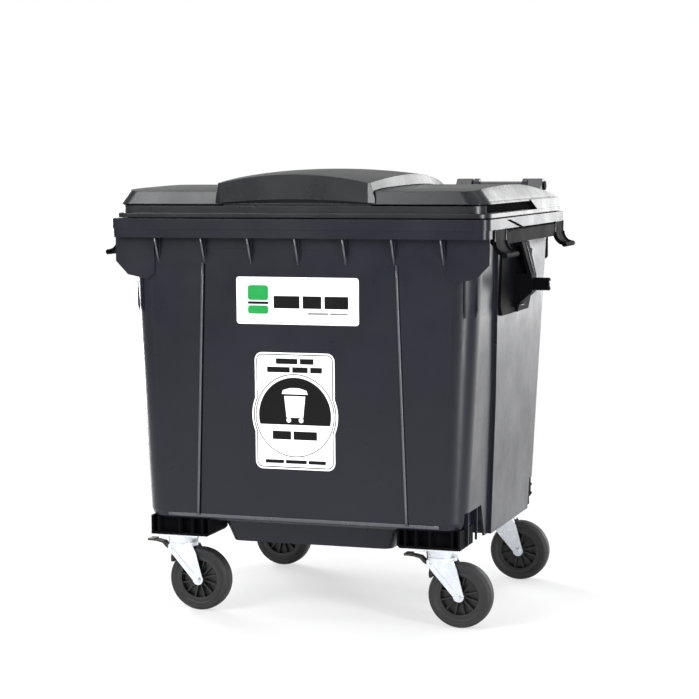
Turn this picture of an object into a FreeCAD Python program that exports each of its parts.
import FreeCAD, Part
import os
import math
from FreeCAD import Vector as V

# Four-wheeled 1100 litre refuse container: tapered moulded tub with a comb rim,
# curved main lid with a smaller lid in it, rear grip bars that are also the lid's
# hinge rods, black side grips, trunnions for the lifting arms and four swivel castors.
# Millimetres, +Z up, +X to the right seen from the front, the front faces -Y.
# Shapes are laid out about the tub's own centre plane and moved by Y_SHIFT on export,
# so that the origin is at the middle of the footprint on the floor.

# ---------------------------------------------------------------- driving sizes
RIM_HX = 606.0          # half width over the rim
RIM_Y = 503.5           # half depth over the rim
RIM_TOP = 1240.0
RIM_SIDE_BOT = 1208.0   # lower edge of the rim's upper band
RIM_FRONT_BOT = 1182.0  # lower edge of the front apron of the rim
TUB_BOT = 302.0
TUB_EDGE = 328.0        # where the rounded bottom edge ends
WALL = 7.0
TROUGH_BOT = 226.0
PAN_BOT = 212.0

KING_X = 426.0          # castor swivel axes
KING_YF = -372.0
KING_YR = 375.0
TRAIL = 60.0
WHEEL_R = 100.0
WHEEL_W = 50.0
PAD_BOT = 248.0

TRUN_Y = -37.0          # trunnion axis
TRUN_Z = 1027.0
TRUN_R = 20.0
TRUN_X0 = 630.0
TRUN_X1 = 680.0

HINGE_Y = 532.0         # main lid axis, also the grip bars' axis
HINGE_Z = 1325.0
BAR_R = 14.0

LID_BOT = 1243.0
SL_Y = 302.0            # small lid axis
SL_Z = 1329.0

REAR_MAX = HINGE_Y + 24.0
Y_SHIFT = -(REAR_MAX - RIM_Y) / 2.0

RUN = 0.05              # radial running clearance of a shaft in its bore

# ---------------------------------------------------------------- helpers
def box(x0, x1, y0, y1, z0, z1):
    if x1 < x0: x0, x1 = x1, x0
    if y1 < y0: y0, y1 = y1, y0
    return Part.makeBox(x1 - x0, y1 - y0, z1 - z0, V(x0, y0, z0))

def cyl(r, p0, p1):
    a, b = V(*p0), V(*p1)
    d = b.sub(a)
    return Part.makeCylinder(r, d.Length, a, d)

def tube(ro, ri, p0, p1):
    a, b = V(*p0), V(*p1)
    d = b.sub(a); n = V(d); n.normalize()
    o = Part.makeCylinder(ro, d.Length, a, d)
    i = Part.makeCylinder(ri, d.Length + 2, a.sub(n), d)
    return o.cut(i)

def pt(axis, a, u, v):
    return {'x': V(a, u, v), 'y': V(u, a, v), 'z': V(u, v, a)}[axis]

def prism(pts, axis, a, b):
    if b < a: a, b = b, a
    w = Part.makePolygon([pt(axis, a, u, v) for u, v in pts] + [pt(axis, a, *pts[0])])
    d = {'x': V(b - a, 0, 0), 'y': V(0, b - a, 0), 'z': V(0, 0, b - a)}[axis]
    return Part.Face(w).extrude(d)

def fuse(items):
    s = items[0]
    if len(items) > 1:
        s = s.multiFuse(items[1:])
    return s

def cut(a, items):
    for i in items:
        a = a.cut(i)
    return a

def mirx(s):
    return s.mirror(V(0, 0, 0), V(1, 0, 0))

def rr(hx, y0, y1, r, z):
    c = r * (1 - math.sqrt(0.5))
    x0, x1 = -hx, hx
    L = lambda p, q: Part.LineSegment(V(p[0], p[1], z), V(q[0], q[1], z)).toShape()
    A = lambda p, q, s: Part.Arc(V(p[0], p[1], z), V(q[0], q[1], z), V(s[0], s[1], z)).toShape()
    e = [L((x0 + r, y0), (x1 - r, y0)), A((x1 - r, y0), (x1 - c, y0 + c), (x1, y0 + r)),
         L((x1, y0 + r), (x1, y1 - r)), A((x1, y1 - r), (x1 - c, y1 - c), (x1 - r, y1)),
         L((x1 - r, y1), (x0 + r, y1)), A((x0 + r, y1), (x0 + c, y1 - c), (x0, y1 - r)),
         L((x0, y1 - r), (x0, y0 + r)), A((x0, y0 + r), (x0 + c, y0 + c), (x0 + r, y0))]
    return Part.Wire(e)

def rrx(hx, y0, y1, r, z0, z1):
    return Part.Face(rr(hx, y0, y1, r, z0)).extrude(V(0, 0, z1 - z0))

def loft(ws, ruled=True):
    return Part.makeLoft(ws, True, ruled)

def clean(s):
    return s

def rounded(s, r, pick):
    es = [e for e in s.Edges if pick(e)]
    if not es:
        return s
    try:
        t = s.makeFillet(r, es)
        if t.isValid() and t.Volume > 0:
            return t
    except Exception:
        pass
    return s

OUT = {}

def put(name, shape):
    OUT[name] = shape

# ---------------------------------------------------------------- tub profile
def k(z): return (z - 308.0) / 932.0
def hx(z): return 515.0 + 51.0 * k(z)
def yf(z): return -458.0 - 8.0 * k(z)
def yr(z): return 425.0 + 12.0 * k(z)
def rc(z): return 62.0 + 18.0 * k(z)

def sec(z, inset=0.0, zz=None, r=None):
    q = z if zz is None else zz
    return rr(hx(q) - inset, yf(q) + inset, yr(q) - inset, (rc(q) - inset * 0.6) if r is None else r, z)

outer = loft([sec(TUB_BOT, 17.0, TUB_EDGE), sec(309.0, 6.5, TUB_EDGE), sec(TUB_EDGE, 0.0), sec(RIM_TOP, 0.0)])
inner = loft([sec(310.0, WALL + 16.0, TUB_EDGE), sec(317.0, WALL + 6.0, TUB_EDGE), sec(336.0, WALL), sec(RIM_TOP + 2, WALL)])

# the rear two thirds of each side wall stand 12 mm proud of the front strip, with a slanting step between,
# and the side walls run on below the floor as skirts
PROUD, SKIRT_BOT = 12.0, 252.0
def ys(z): return -191.5 + (z - 676.0) * (-80.5 / 564.0 if z > 676.0 else -30.5 / 424.0)
def panel(z, d, r):
    h, a, b = hx(z) + PROUD - d, ys(z) + d, yr(z) - d
    c = r * (1 - math.sqrt(0.5))
    L = lambda p, q: Part.LineSegment(V(p[0], p[1], z), V(q[0], q[1], z)).toShape()
    e = [L((hx(z) - 90, a), (h, a)), L((h, a), (h, b - r)),
         Part.Arc(V(h, b - r, z), V(h - c, b - c, z), V(h - r, b, z)).toShape(), L((h - r, b), (hx(z) - 90, b)), L((hx(z) - 90, b), (hx(z) - 90, a))]
    return Part.Wire(e)
panel_o = loft([panel(z, 0.0, 74.0) for z in (SKIRT_BOT, 676.0, RIM_TOP)])
panel_i = loft([panel(z, WALL, 67.0) for z in (318.0, 676.0, RIM_TOP + 2)])
panel_u = loft([panel(z, WALL, 67.0) for z in (SKIRT_BOT - 2, TUB_BOT)])
strip = prism([(505, SKIRT_BOT), (512, SKIRT_BOT), (515.0, 308), (516.2, 330), (509.2, 330), (508, 308)], 'y', -392, ys(252) + 6)
# corner pockets over the castor blocks
pocket_f = prism([(-430, 240), (-424, 358), (-255, 358), (-199, 256), (-193, 240)], 'x', 490, 545)
pocket_r = prism([(322, 240), (324, 355), (470, 355), (470, 240)], 'x', 488, 545)
guard = [prism([(-437, 240), (-431, 365), (-248, 365), (-190, 256), (-184, 240)], 'x', 483, 560), prism([(315, 240), (317, 362), (480, 362), (480, 240)], 'x', 481, 560)]
pocket_ribs = [prism([(488, 303), (488, 359), (511.5, 359), (510.5, SKIRT_BOT + 2), (503.4, SKIRT_BOT + 2), (503.4, 303)], 'y', y - 2, y + 2) for y in (-377.0, -278.0)]

# places of the trunnion fixings, which cut their own way through the side walls
TB = [(TRUN_Y + dy, z) for dy in (-150.0, 150.0) for z in (985.0, 1095.0)]

# centre field of the front wall sits 3 mm back between two slanting steps
def field(z):
    x = 337.0 - 27.5 * (z - 310.0) / 790.0
    y = yf(z)
    return Part.makePolygon([V(-x - 1, y - 6, z), V(-x + 4, y + 3, z), V(x - 4, y + 3, z), V(x + 1, y - 6, z), V(-x - 1, y - 6, z)])
front_field = loft([field(290.0), field(1150.0)])

# trough between the castors and the drain pan in it
trough_o = loft([rr(294, -384, 384, 34, 306), rr(262, -368, 368, 30, TROUGH_BOT)])
trough_i = loft([rr(290, -380, 380, 30, 316), rr(286, -376, 376, 30, 308), rr(255, -361, 361, 25, TROUGH_BOT + 8)])
pan_o = loft([rr(236, -300, 300, 26, TROUGH_BOT + 3), rr(228, -292, 292, 24, PAN_BOT)])
pan_i = loft([rr(229, -293, 293, 21, TROUGH_BOT + 9), rr(221, -285, 285, 19, PAN_BOT + 8)])

# rim: top flange, upper band all round, lower apron on the front and its corners
opening = loft([sec(1200.0, WALL), sec(RIM_TOP + 2, WALL)])
flange = rrx(RIM_HX, -RIM_Y, RIM_Y, 30, RIM_TOP - 5, RIM_TOP)
band = rrx(RIM_HX, -RIM_Y, RIM_Y, 30, RIM_SIDE_BOT, RIM_TOP - 2).cut(rrx(RIM_HX - 5, -RIM_Y + 5, RIM_Y - 5, 25, RIM_SIDE_BOT - 1, RIM_TOP))
apron = rrx(RIM_HX - 3, -RIM_Y + 3, RIM_Y - 3, 27, RIM_FRONT_BOT, RIM_SIDE_BOT + 4).cut(rrx(RIM_HX - 8, -RIM_Y + 8, RIM_Y - 8, 22, RIM_FRONT_BOT - 1, RIM_SIDE_BOT + 8))
apron = apron.common(box(-620, 620, -520, -447, 1170, 1230))
slots = []
for s in (1, -1):
    slots.append(prism([(-292, 1234), (-246, 1234), (-70, RIM_SIDE_BOT - 2), (-116, RIM_SIDE_BOT - 2)], 'x', s * 596, s * 612))
rim = clean(cut(fuse([flange, band, apron]), slots))

gussets = []
for x in (0, 152.5, -152.5, 305, -305, 457.5, -457.5):
    gussets.append(prism([(-461, 1098), (-496, RIM_FRONT_BOT), (-497, 1212), (-499, 1236), (-461, 1236)], 'x', x - 3, x + 3))
    gussets.append(prism([(433, 1105), (497, RIM_SIDE_BOT), (499.5, 1236), (433, 1236)], 'x', x - 3, x + 3))
for s in (1, -1):
    # corner plates that stiffen the rim over the rounded corners
    gussets.append(prism([(s * 470, 1236), (s * 600, 1236), (s * 600, 1107), (s * 560, 1066), (s * 492, 1052), (s * 470, 1070)], 'y', -470, -464.5))
    gussets.append(prism([(s * 470, 1236), (s * 600, 1236), (s * 600, 1209), (s * 565, 1209), (s * 565, 1090), (s * 558, 1083), (s * 470, 1075)], 'y', 433.0, 438.5))
    # narrow corner ribs
    for (x, y) in ((520.0, -452.0), (545.0, -418.0)):
        n = V(x - 485.0, y + 385.0, 0); n.normalize()
        a = math.degrees(math.atan2(n.y, n.x))
        b = Part.makeBox(26, 5, 126, V(-20, -2.5, 0))
        b = b.cut(prism([(0.0, -1.0), (8.0, 28.0), (8.0, -1.0)], 'y', -4, 4))
        b.rotate(V(0, 0, 0), V(0, 0, 1), a)
        b.translate(V(x, y, 948.0))
        gussets.append(b if s > 0 else mirx(b))

# castor mounting blocks under the four corners: slab, back webs and comb ribs
pads = []
for s in (1, -1):
    for (ya, yb, yw, yc0, yc1, yk) in ((-449, -298, -424, -448, -424, KING_YF), (434, 298, 424, 424, 433, KING_YR)):
        xa, xb = s * 305, s * 503
        slab = box(xa, xb, ya, yb, PAD_BOT, PAD_BOT + 8)
        slab = slab.common(box(xa, xb, -462, 436, PAD_BOT, PAD_BOT + 8))
        for dx in (-52.5, 52.5):
            for dy in (-35.0, 35.0):
                slab = slab.cut(cyl(5.5, (s * KING_X + dx, yk + dy, PAD_BOT - 1), (s * KING_X + dx, yk + dy, PAD_BOT + 9)))
        pads.append(slab)
        pads.append(box(xa, xb, yw, yw + (6 if yw < 0 else -6), PAD_BOT + 4, 306))
        pads.append(box(xa, xb, yb, yb + (-6 if yw < 0 else 6), PAD_BOT + 4, 306))
        for xw in (305, 497):
            pads.append(box(s * xw, s * (xw + 6), ya + (1 if yw < 0 else -1), yb, PAD_BOT + 4, 308))
        for xw in (331, 365, 408, 478):
            pads.append(box(s * (xw - 3), s * (xw + 3), yc0, yc1, PAD_BOT + 4, 308))

# rear hinge posts that carry the grip bars
posts = []
for s in (1, -1):
    for (xa, xb) in ((286, 305), (456, 475)):
        p = prism([(497, 1206), (497, 1236), (500, 1250), (509, 1300), (513, 1316), (551, 1316), (544, 1294), (519, 1206)], 'x', s * xa, s * xb)
        p = p.fuse(cyl(24.0, (s * xa, HINGE_Y, HINGE_Z), (s * xb, HINGE_Y, HINGE_Z)))
        p = p.cut(cyl(BAR_R, (s * (xa - 2), HINGE_Y, HINGE_Z), (s * (xb + 2), HINGE_Y, HINGE_Z)))
        posts.append(p)

tub = fuse([outer, trough_o, pan_o])
tub = tub.cut(front_field)
for m in (lambda q: q, mirx):
    tub = tub.fuse(m(panel_o)).fuse(m(strip))
    tub = cut(tub, [m(panel_u), m(box(380, 489, 400, 440, 240, TUB_BOT)), m(pocket_f), m(pocket_r)])
    tub = tub.multiFuse([m(q) for q in pocket_ribs])
tub = tub.fuse(rim)
tub = tub.multiFuse(gussets + posts)
void = fuse([inner, opening, panel_i, mirx(panel_i)])
void = cut(void, guard + [mirx(q) for q in guard])
# the rooms of the trough and the pan are cut one after the other
tub = cut(tub, [void, trough_i, pan_i])
# drain hole in the pan
DRAIN = (0.0, -190.0)
tub = tub.cut(cyl(28.0, (DRAIN[0], DRAIN[1], PAN_BOT - 2), (DRAIN[0], DRAIN[1], PAN_BOT + 12)))
put("tub", tub)
# each block is one moulding screwed and welded to the underside
blocks = []
for i in range(0, len(pads), 9):
    b = fuse(pads[i:i + 9]).cut(outer)
    for s in (1, -1):
        b = b.cut(prism([(s * 300, 240), (s * 300, 262), (s * 322, 240)], 'y', -460, 440))
    b = b.cut(tub)
    blocks.append(sorted(b.Solids, key=lambda q: q.Volume)[-1])
put("castor_blocks", Part.makeCompound(blocks))
# black bumpers in the rear corner pockets
bump = fuse([box(488.0, 508.5, 334, 434, 308.2, 354.6), box(503.6, 508.5, 334, 434, 277, 312), box(503.6, 512, 334, 434, 282, 290), box(506, 512, 334, 434, 312, 320), box(506, 512, 334, 434, 342, 350)])
put("rear_bumpers", Part.makeCompound([bump, mirx(bump)]))

# ---------------------------------------------------------------- drain plug
px, py = DRAIN
plug = fuse([cyl(27.6, (px, py, 210), (px, py, 222)), cyl(38.0, (px, py, 201.5), (px, py, 209.6)), box(px - 30, px + 30, py - 4, py + 4, 192, 202)])
plug = plug.cut(cyl(21.0, (px, py, 211), (px, py, 230)))
plug = plug.fuse(cyl(27.6, (px, py, 209), (px, py, 211.5)))
put("drain_plug", clean(plug))
put("drain_seal", tube(36.0, 28.0, (px, py, 209.6), (px, py, 211.6)))

# ---------------------------------------------------------------- labels on the front wall
def label(xa, xb, za, zb, r, t):
    off = 3.0
    body = prism([(yf(za) + off, za), (yf(zb) + off, zb), (yf(zb) + off - t, zb), (yf(za) + off - t, za)], 'x', xa, xb)
    c = r * (1 - math.sqrt(0.5))
    y = -480.0
    L = lambda p, q: Part.LineSegment(V(p[0], y, p[1]), V(q[0], y, q[1])).toShape()
    A = lambda p, q, w: Part.Arc(V(p[0], y, p[1]), V(q[0], y, q[1]), V(w[0], y, w[1])).toShape()
    e = [L((xa + r, za), (xb - r, za)), A((xb - r, za), (xb - c, za + c), (xb, za + r)), L((xb, za + r), (xb, zb - r)),
         A((xb, zb - r), (xb - c, zb - c), (xb - r, zb)), L((xb - r, zb), (xa + r, zb)), A((xa + r, zb), (xa + c, zb - c), (xa, zb - r)),
         L((xa, zb - r), (xa, za + r)), A((xa, za + r), (xa + c, za + c), (xa + r, za))]
    return body.common(Part.Face(Part.Wire(e)).extrude(V(0, 60, 0)))
LABEL_UP = (-201.0, 193.0, 919.0, 1063.0)
put("label_upper", label(*LABEL_UP, 9.0, 0.8))
# the lower label is a tall plate with a round centre that bulges past its sides
LOW_C, LOW_R, LOW_HW = (-15.0, 640.0), 139.0, 129.0
lower = label(LOW_C[0] - LOW_HW, LOW_C[0] + LOW_HW, 474.0, 833.0, 24.0, 0.8)
wide = prism([(yf(480) + 3.0, 480), (yf(800) + 3.0, 800), (yf(800) + 2.2, 800), (yf(480) + 2.2, 480)], 'x', -170, 140)
lower = lower.fuse(wide.common(cyl(LOW_R, (LOW_C[0], -500, LOW_C[1]), (LOW_C[0], -420, LOW_C[1]))))
put("label_lower", lower)

# ---------------------------------------------------------------- main lid
TOPC = [(-500, 1320.5), (-440, 1327), (-300, 1333), (-100, 1337), (50, 1336), (200, 1327.5), (350, 1309), (450, 1291), (510, 1277)]
def top_prism(dz, xa, xb, ya=-500, yb=510, zb=1150.0):
    c = Part.BSplineCurve()
    c.interpolate([V(xa, y, z + dz) for y, z in TOPC])
    e = c.toShape()
    a, b = e.Vertexes[0].Point, e.Vertexes[-1].Point
    w = Part.Wire([e, Part.LineSegment(b, V(xa, b.y, zb)).toShape(), Part.LineSegment(V(xa, b.y, zb), V(xa, a.y, zb)).toShape(),
                   Part.LineSegment(V(xa, a.y, zb), a).toShape()])
    return Part.Face(w).extrude(V(xb - xa, 0, 0))

def lid_block(d, zb, extra=0.0):
    up = loft([rr(596 - d, -487 + d, 492 - d, 58 - d * 0.5, 1284 - extra), rr(566 - d, -480 + d, 486 - d, 58 - d * 0.5, 1324), rr(548 - d, -475 + d, 482 - d, 58 - d * 0.5, 1346)])
    rec = rrx(585 - d, -474 + d, 482 - d, 50 - d * 0.5, zb, 1286)
    return up, rec

up, rec = lid_block(0.0, LID_BOT)
lid_flange = rrx(600, -487, 492, 46, LID_BOT, 1256)
aft = prism([(46, 1288), (174, LID_BOT), (500, LID_BOT), (500, 1288)], 'x', -598, 598).common(rrx(598, -487, 492, 58, LID_BOT, 1288))
lid = fuse([up.common(top_prism(0.0, -620, 620)), rec, lid_flange, aft])
ui, ri = lid_block(6.0, LID_BOT - 3)
ui = loft([rr(579, -468, 476, 46, 1270), rr(590, -480, 486, 55, 1291), rr(560, -474, 480, 55, 1324), rr(542, -469, 476, 55, 1346)])
lid = cut(lid, [fuse([ui.common(top_prism(-6.0, -620, 620)), ri.common(top_prism(-6.0, -620, 620))])])
# aperture for the small lid: open to the front above the recessed band
OPX, OPY0, OPY1 = 232.0, -462.0, 264.0
lid = lid.cut(box(-OPX, OPX, OPY0, OPY1, 1262, 1400))
lid = lid.cut(box(-OPX - 4, OPX + 4, -540, OPY0 + 1, 1287, 1400))
sill = box(-OPX - 4, OPX + 4, -474, -468, 1280, 1312)
collar = rrx(OPX + 5, OPY0, OPY1 + 5, 12, 1296, 1341).cut(rrx(OPX, OPY0 - 20, OPY1, 8, 1290, 1350))
collar = collar.common(top_prism(1.0, -620, 620)).common(box(-300, 300, -466, 300, 1290, 1400))
lid = lid.multiFuse([sill, collar])
# hinge arms at the rear, on the grip bars
arms = []
for s in (1, -1):
    for (xa, xb) in ((229, 282), (479, 527)):
        a = prism([(446, 1280), (512, 1349), (538, 1349), (556, 1333), (556, 1316), (541, 1301), (506, 1260), (478, 1256), (446, 1262)], 'x', s * xa, s * xb)
        a = a.cut(cyl(BAR_R + RUN, (s * (xa - 2), HINGE_Y, HINGE_Z), (s * (xb + 2), HINGE_Y, HINGE_Z)))
        # lightening pocket seen from the outer side
        a = a.cut(prism([(486, 1288), (508, 1312), (508, 1288)], 'x', s * (xb - 12), s * (xb + 2)))
        arms.append(a)
    for (xa, xb) in ((114, 123), (177, 186)):
        e = prism([(289, 1306), (318, 1304), (307.5, 1332.5), (296.5, 1332.5)], 'x', s * xa, s * xb)
        e = e.fuse(cyl(8.0, (s * xa, SL_Y, SL_Z), (s * xb, SL_Y, SL_Z)))
        e = e.cut(cyl(4.0, (s * (xa - 2), SL_Y, SL_Z), (s * (xb + 2), SL_Y, SL_Z)))
        arms.append(e)
lid = clean(lid.multiFuse(arms))
put("main_lid", lid)

# rubber buffers under the lid's flange
bufs = []
for x in (-590.5, 590.5):
    for y in (-380, -120, 120, 380):
        bufs.append(cyl(7.5, (x, y, LID_BOT - 2.5), (x, y, LID_BOT)))
put("lid_buffers", Part.makeCompound(bufs))

# ---------------------------------------------------------------- small lid
SECS = [(-503, 243, 1347.5, 1374.5, 256), (-350, 246, 1361, 1384.5, 272), (-200, 249, 1369, 1388, 280), (-50, 251, 1371, 1388, 284),
        (100, 252, 1362, 1379, 284), (220, 250, 1345, 1359, 278), (290, 246, 1331, 1341, 264)]
def dome_wire(y, ht, ze, zc, hb, zb, d=0.0):
    ht, ze, zc, hb = ht - d, ze - d, zc - d, hb - d
    e = [Part.LineSegment(V(-hb, y, zb), V(hb, y, zb)).toShape(), Part.LineSegment(V(hb, y, zb), V(ht, y, ze)).toShape(),
         Part.Arc(V(ht, y, ze), V(0, y, zc), V(-ht, y, ze)).toShape(), Part.LineSegment(V(-ht, y, ze), V(-hb, y, zb)).toShape()]
    return Part.Wire(e)
dome_o = loft([dome_wire(y, a, b, c, h, 1286.0) for y, a, b, c, h in SECS], False)
def under_arc():
    x, y = 300.0, -510.0
    e = [Part.Arc(V(-x, y, 1282.0), V(0, y, 1300.0), V(x, y, 1282.0)).toShape(), Part.LineSegment(V(x, y, 1282.0), V(x, y, 1260.0)).toShape(),
         Part.LineSegment(V(x, y, 1260.0), V(-x, y, 1260.0)).toShape(), Part.LineSegment(V(-x, y, 1260.0), V(-x, y, 1282.0)).toShape()]
    return Part.Face(Part.Wire(e)).extrude(V(0, 40, 0))
small = dome_o.cut(under_arc())
for s in (1, -1):
    small = small.cut(prism([(s * 233, -505), (s * 270, -478), (s * 290, -478), (s * 290, -505)], 'z', 1270, 1420))
inner_secs = [(-498, 238, 1342.5, 1369.5, 251)] + [(y, a - 5, b - 5, c - 5, h - 5) for y, a, b, c, h in SECS[1:-1]] + [(285, 241, 1326, 1336, 259)]
dome_i = loft([dome_wire(y, a, b, c, h, 1250.0) for y, a, b, c, h in inner_secs], False)
for s in (1, -1):
    dome_i = dome_i.cut(prism([(s * 227.5, -505), (s * 264.5, -476), (s * 290, -476), (s * 290, -505)], 'z', 1240, 1420))
keep = top_prism(1.6, -400, 400).common(box(-400, 400, -488.6, 520, 1100, 1500))
small = cut(small, [dome_i, keep])
kn = []
for s in (1, -1):
    kk = cyl(8.5, (s * 124.5, SL_Y, SL_Z), (s * 175.5, SL_Y, SL_Z)).fuse(box(s * 124.5, s * 175.5, 286, SL_Y, 1324.5, 1333.5))
    kk = kk.cut(cyl(4.0 + RUN, (s * 120, SL_Y, SL_Z), (s * 180, SL_Y, SL_Z)))
    kn.append(kk)
small = clean(small.multiFuse(kn))
put("small_lid", small)
put("small_lid_hinge_pins", Part.makeCompound([cyl(4.0, (s * 112, SL_Y, SL_Z), (s * 188, SL_Y, SL_Z)) for s in (1, -1)]))

# ---------------------------------------------------------------- grip bars
for s, nm in ((1, "right"), (-1, "left")):
    put("grip_bar_" + nm, tube(BAR_R, 11.0, (s * 227, HINGE_Y, HINGE_Z), (s * 529, HINGE_Y, HINGE_Z)))
caps = []
for s in (1, -1):
    for (a, b, c) in ((227, 223, 237), (529, 533, 519)):
        caps.append(cyl(15.5, (s * b, HINGE_Y, HINGE_Z), (s * a, HINGE_Y, HINGE_Z)).fuse(cyl(11.0, (s * a, HINGE_Y, HINGE_Z), (s * c, HINGE_Y, HINGE_Z))))
put("grip_bar_caps", Part.makeCompound(caps))

# ---------------------------------------------------------------- side grips
def thick(path, t):
    # closed band of thickness t on the outer (left-hand) side of a path of (x, z) points
    n = len(path); out = []
    for i in range(n):
        a = path[max(i - 1, 0)]; b = path[min(i + 1, n - 1)]
        dx, dz = b[0] - a[0], b[1] - a[1]
        L = math.hypot(dx, dz)
        out.append((path[i][0] - dz / L * t, path[i][1] + dx / L * t))
    return path + out[::-1]
HOOK = [(601.0, 1208.0), (601.0, 1176.0)]
for i in range(1, 9):
    a = math.radians(180 + 60.0 * i / 8)
    HOOK.append((601.0 + 46 + 46 * math.cos(a), 1176.0 + 46 * math.sin(a)))
HOOK.append((HOOK[-1][0] + 16.0, HOOK[-1][1] - 5.0))
def side_grip(s):
    parts = []
    for (ya, yb, xw) in ((-438.0, -298.0, 566.0), (358.0, 482.0, 577.0)):
        inner_p = [(s * x, z) for x, z in HOOK]
        ring = thick(HOOK, 5.0)
        ring = [(s * x, z) for x, z in ring]
        parts.append(prism(ring, 'y', ya, yb))
        wide = [(s * x, z) for x, z in thick([(x - 2.0, z - 2.0) for x, z in HOOK[1:]], 12.0)]
        for yy in (ya, yb - 7.0):
            parts.append(prism(wide, 'y', yy, yy + 7.0))
        ex, ez = HOOK[-1]
        parts.append(cyl(8.0, (s * (ex - 1), ya - 6, ez + 2.5), (s * (ex - 1), yb, ez + 2.5)))
        # stiffening ribs back to the wall
        for yy in (ya + 22, (ya + yb) / 2 - 2.5, yb - 27):
            parts.append(prism([(s * xw, 1207.5), (s * 603, 1207.5), (s * 603, 1172), (s * 596, 1160), (s * xw, 1190 - (xw - 566) * 1.0)], 'y', yy, yy + 5))
        parts.append(box(s * xw, s * 604, ya, yb, 1202.5, 1208))
    # rail that joins the two hooks
    parts.append(box(s * 599, s * 606, -300, 360, 1162, 1201))
    parts.append(box(s * 577, s * 603, -300, 360, 1197, 1203))
    parts.append(box(s * 603, s * 608, -251, 314, 1196, 1201))
    return clean(fuse(parts))
SG = side_grip(1)
put("side_grip_right", SG)
put("side_grip_left", mirx(SG))

# ---------------------------------------------------------------- trunnions
def trunnion(s):
    pl = prism([(s * (hx(938) + PROUD), 938), (s * 571, 938), (s * 577.5, 1130), (s * (hx(1130) + PROUD), 1130)], 'y', TRUN_Y - 194, TRUN_Y + 194)
    for t in (1, -1):
        pl = pl.cut(prism([(TRUN_Y + t * 196, 936), (TRUN_Y + t * 196, 974), (TRUN_Y + t * 168, 936)], 'x', s * 540, s * 580))
    def rect(z, xo, hy):
        a, b = s * (hx(z) + PROUD + 0.6), s * xo
        q = [V(a, TRUN_Y - hy, z), V(b, TRUN_Y - hy, z), V(b, TRUN_Y + hy, z), V(a, TRUN_Y + hy, z)]
        return Part.makePolygon(q + [q[0]])
    core = loft([rect(1160, 602, 46), rect(1054, TRUN_X0, 32), rect(1003, TRUN_X0, 28), rect(962, 584, 28)])
    # front and rear pockets make it a webbed bracket
    for t in (1, -1):
        core = core.cut(prism([(s * 577, 1148), (s * 596, 1148), (s * 616, 1060), (s * 577, 1060)], 'y', TRUN_Y + t * 20, TRUN_Y + t * 60))
    core = core.cut(box(s * 590, s * 640, TRUN_Y - 4, TRUN_Y + 4, 1112, 1134))
    lip = box(s * 570, s * 590, TRUN_Y - 34, TRUN_Y + 34, 956, 964)
    rib = box(s * 569, s * 579, TRUN_Y - 3, TRUN_Y + 3, 939, 1000)
    collar = cyl(27.0, (s * 612, TRUN_Y, TRUN_Z), (s * TRUN_X0, TRUN_Y, TRUN_Z))
    b = fuse([pl, core, lip, rib, collar])
    b = b.cut(cyl(15.0, (s * 600, TRUN_Y, TRUN_Z), (s * (TRUN_X0 + 2), TRUN_Y, TRUN_Z)))
    b = b.cut(cyl(6.0, (s * 540, TRUN_Y, TRUN_Z), (s * 610, TRUN_Y, TRUN_Z)))
    for (y, z) in TB:
        b = b.cut(cyl(5.0, (s * 530, y, z), (s * (hx(z) + PROUD + 4.0), y, z)))
    pin = fuse([cyl(TRUN_R, (s * TRUN_X0, TRUN_Y, TRUN_Z), (s * TRUN_X1, TRUN_Y, TRUN_Z)), cyl(15.0, (s * 600, TRUN_Y, TRUN_Z), (s * TRUN_X0, TRUN_Y, TRUN_Z))])
    pin = pin.cut(cyl(6.0, (s * 590, TRUN_Y, TRUN_Z), (s * (TRUN_X1 + 2), TRUN_Y, TRUN_Z)))
    pin = rounded(pin, 1.5, lambda e: abs(abs(e.CenterOfMass.x) - TRUN_X1) < 0.5 and e.Length > 80)
    bolt = fuse([cyl(6.0, (s * 574, TRUN_Y, TRUN_Z), (s * (TRUN_X1 + 0.5), TRUN_Y, TRUN_Z)), cyl(10.5, (s * TRUN_X1, TRUN_Y, TRUN_Z), (s * (TRUN_X1 + 5), TRUN_Y, TRUN_Z))])
    bolts = []
    for (y, z) in TB:
        xi = hx(z) + PROUD - WALL
        bolts.append(fuse([cyl(5.0, (s * (xi - 6), y, z), (s * (hx(z) + PROUD + 3.5), y, z)), cyl(9.0, (s * (xi - 7), y, z), (s * (xi - 1.2), y, z))]))
    return clean(b), pin, bolt, Part.makeCompound(bolts)
TR = trunnion(1)
for s, nm in ((1, "right"), (-1, "left")):
    b, p, q, f = [t if s > 0 else mirx(t) for t in TR]
    put("trunnion_bracket_" + nm, b)
    put("trunnion_pin_" + nm, p)
    put("trunnion_bolt_" + nm, q)
    put("trunnion_fixings_" + nm, f)

# ---------------------------------------------------------------- castors
def hexagon(r, z0, z1, x=0.0, y=0.0):
    q = [(x + r * math.cos(math.radians(60 * i)), y + r * math.sin(math.radians(60 * i))) for i in range(6)]
    return prism(q, 'z', z0, z1)

def revolve_y(pts, yc, cx, cz):
    # closed profile of (radius, y) points turned about the wheel's own axis
    w = Part.makePolygon([V(cx + r, yc + y, cz) for r, y in pts] + [V(cx + pts[0][0], yc + pts[0][1], cz)])
    return Part.Face(w).revolve(V(cx, yc, cz), V(0, 1, 0), 360)

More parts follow.
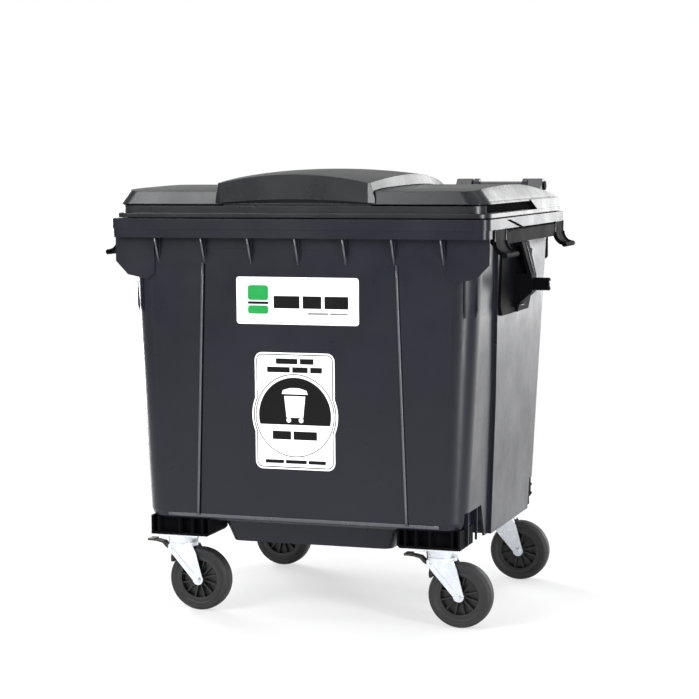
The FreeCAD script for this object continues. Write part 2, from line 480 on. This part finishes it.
def castor(kx, ky, brake):
    d = {}
    def at(s):
        s.translate(V(kx, ky, 0)); return s
    # fixed top plate with the pressed upper race
    plate = rrx(70, -55, 55, 10, 240, PAD_BOT)
    plate = plate.fuse(Part.makeCone(46, 51, 24, V(0, 0, 216.4), V(0, 0, 1)))
    plate = plate.cut(Part.makeCone(40, 34, 8, V(0, 0, 216.3), V(0, 0, 1)))
    for dx in (-52.5, 52.5):
        for dy in (-35.0, 35.0):
            plate = plate.cut(cyl(5.5, (dx, dy, 235), (dx, dy, 250)))
    plate = plate.cut(cyl(6.0, (0, 0, 200), (0, 0, 250)))
    d["plate"] = at(clean(plate))
    bolts = []
    for dx in (-52.5, 52.5):
        for dy in (-35.0, 35.0):
            bolts.append(fuse([cyl(5.0, (dx, dy, 234), (dx, dy, 267)), hexagon(9.2, 233.5, 239.9, dx, dy), hexagon(9.2, 256.1, 264, dx, dy)]))
    d["bolts"] = at(Part.makeCompound(bolts))
    # ball ring between the races
    cage = tube(35.4, 28.6, (0, 0, 211.6), (0, 0, 214.4))
    balls = []
    for i in range(16):
        a = math.radians(22.5 * i + 11.25)
        c = (32.0 * math.cos(a), 32.0 * math.sin(a))
        balls.append(Part.makeCone(1.7, 3.0, 2.4, V(c[0], c[1], 209.6)))
        balls.append(Part.makeCone(3.0, 1.7, 2.4, V(c[0], c[1], 213.6)))
    d["balls"] = at(clean(fuse([cage] + balls)))
    # king bolt
    kb = fuse([cyl(6.0, (0, 0, 196), (0, 0, PAD_BOT - 0.4)), hexagon(10.5, 195.5, 203.5)])
    d["king_bolt"] = at(kb)
    # fork: dished crown and two tapering cheeks
    crown = fuse([cyl(46.5, (0, 0, 204), (0, 0, 209)), tube(46.5, 41.5, (0, 0, 208), (0, 0, 215.8))])
    cheek = []
    for t in (1, -1):
        c = prism([(-40, 207), (43, 207), (54, 186), (76, 103), (60, 100), (45, 96), (-20, 170), (-39, 190)], 'y', t * 29, t * 33)
        c = c.fuse(cyl(17.0, (60, t * 29, 100), (60, t * 33, 100)))
        # pressed stiffening bead along the leading edge
        c = c.fuse(prism([(-36, 200), (-26, 200), (48, 118), (42, 110), (-36, 190)], 'y', t * 33, t * 35))
        c = c.cut(cyl(6.0, (60, t * 25, 100), (60, t * 40, 100)))
        cheek.append(c)
    fork = fuse([crown] + cheek).cut(cyl(6.0 + RUN, (0, 0, 200), (0, 0, 212)))
    if brake:
        fork = fork.cut(cyl(4.0, (-32, -40, 192), (-32, 40, 192)))
    d["fork"] = at(clean(fork))
    ax = fuse([cyl(6.0, (60, -43, 100), (60, 43, 100))])
    hd = prism([(60 + 9.8 * math.cos(math.radians(60 * i)), 100 + 9.8 * math.sin(math.radians(60 * i))) for i in range(6)], 'y', -40.4, -33.05)
    nt = prism([(60 + 9.8 * math.cos(math.radians(60 * i)), 100 + 9.8 * math.sin(math.radians(60 * i))) for i in range(6)], 'y', 33.05, 41)
    d["axle_bolt"] = at(fuse([ax, hd, nt]))
    d["bearing_tube"] = at(tube(10.0, 6.0, (60, -28.9, 100), (60, 28.9, 100)))
    # hub: boss, web, twelve ribs and rim
    hub = fuse([revolve_y([(10 + RUN, -26), (19, -26), (20.5, -14), (20.5, 14), (19, 26), (10 + RUN, 26)], 0, 60, 100),
                revolve_y([(19, -3), (66, -3), (66, 3), (19, 3)], 0, 60, 100),
                revolve_y([(60, -20), (67, -22), (73, -21.5), (73, 21.5), (67, 22), (60, 20), (63, 4), (63, -4)], 0, 60, 100)])
    ribs = []
    for i in range(12):
        b = prism([(17, -18), (65, -16), (65, 16), (17, 18)], 'z', -1.9, 1.9)
        b.rotate(V(0, 0, 0), V(0, 1, 0), 30.0 * i + 15.0)
        b.translate(V(60, 0, 100))
        ribs.append(b)
    hub = hub.multiFuse(ribs)
    d["hub"] = at(clean(hub))
    prof = [(73, -21.5), (78, -23.5), (79.5, -22.6), (81, -23.9), (88, -24.8), (89.5, -23.9), (91, -24.6), (95.5, -22), (98.6, -17), (99.8, -10), (100, 0),
            (99.8, 10), (98.6, 17), (95.5, 22), (91, 24.6), (89.5, 23.9), (88, 24.8), (81, 23.9), (79.5, 22.6), (78, 23.5), (73, 21.5)]
    d["tyre"] = at(revolve_y(prof, 0, 60, 100))
    if brake:
        piv = (-32.0, 192.0)
        lever = fuse([prism([(-37, 186), (-28, 188), (-27, 196), (-49, 200), (-64, 213), (-84, 217), (-114, 219), (-115, 214), (-86, 211.5), (-68, 207), (-54, 193)], 'y', -14, 14),
                      box(-116, -94, -20, 20, 214, 220.5),
                      cyl(9.0, (piv[0], -27.5, piv[1]), (piv[0], 27.5, piv[1])),
                      prism([(-38, 192), (-28, 192), (-31.5, 160), (-37.5, 160)], 'y', -14, 14)])
        lever = lever.cut(cyl(4.0 + RUN, (piv[0], -40, piv[1]), (piv[0], 40, piv[1])))
        d["brake_lever"] = at(clean(lever))
        d["brake_pin"] = at(fuse([cyl(4.0, (piv[0], -36, piv[1]), (piv[0], 36, piv[1])), cyl(7.0, (piv[0], -38, piv[1]), (piv[0], -35.05, piv[1])), cyl(7.0, (piv[0], 35.05, piv[1]), (piv[0], 38, piv[1]))]))
        # brake shoe, concave to the tread
        sh = []
        for r in (103.4, 110.5):
            row = [(60 + r * math.cos(math.radians(a)), 100 + r * math.sin(math.radians(a))) for a in (140, 143, 146, 149, 152)]
            sh.append(row)
        shoe = prism(sh[0] + sh[1][::-1], 'y', -19, 19)
        shoe = shoe.fuse(prism([(-38, 168), (-28, 168), (-26, 158), (-34, 150), (-38, 156)], 'y', -17, 17))
        shoe = shoe.cut(prism([(-38, 192), (-28, 192), (-31.5, 160), (-37.5, 160)], 'y', -14, 14))
        shoe = shoe.cut(cyl(103.4, (60, -40, 100), (60, 40, 100)))
        d["brake_shoe"] = at(clean(shoe))
    return d

GROUPS = {"bolts": [], "king_bolt": []}
for tag, x, y, br in (("fl", -KING_X, KING_YF, True), ("fr", KING_X, KING_YF, True), ("rl", -KING_X, KING_YR, False), ("rr", KING_X, KING_YR, False)):
    for nm, s in castor(x, y, br).items():
        if nm in GROUPS:
            GROUPS[nm] += s.Solids
        else:
            put("castor_%s_%s" % (tag, nm), s)
put("castor_fixing_bolts", Part.makeCompound(GROUPS["bolts"]))
put("castor_king_bolts", Part.makeCompound(GROUPS["king_bolt"]))

# ---------------------------------------------------------------- export
lo, hi = V(1e9, 1e9, 1e9), V(-1e9, -1e9, -1e9)
for name, s in OUT.items():
    s.translate(V(0, Y_SHIFT, 0))
    sol = s.Solids
    if len(sol) == 1:
        s = sol[0]
    else:
        s = Part.makeCompound(sol)
    s.exportStep("parts/%s.step" % name)
    b = s.BoundBox
    lo = V(min(lo.x, b.XMin), min(lo.y, b.YMin), min(lo.z, b.ZMin))
    hi = V(max(hi.x, b.XMax), max(hi.y, b.YMax), max(hi.z, b.ZMax))
    print("%-26s solids %2d valid %s vol %.0f" % (name, len(sol), s.isValid(), s.Volume))
print("nodes", len(OUT), "box", lo, hi, "shift", Y_SHIFT)
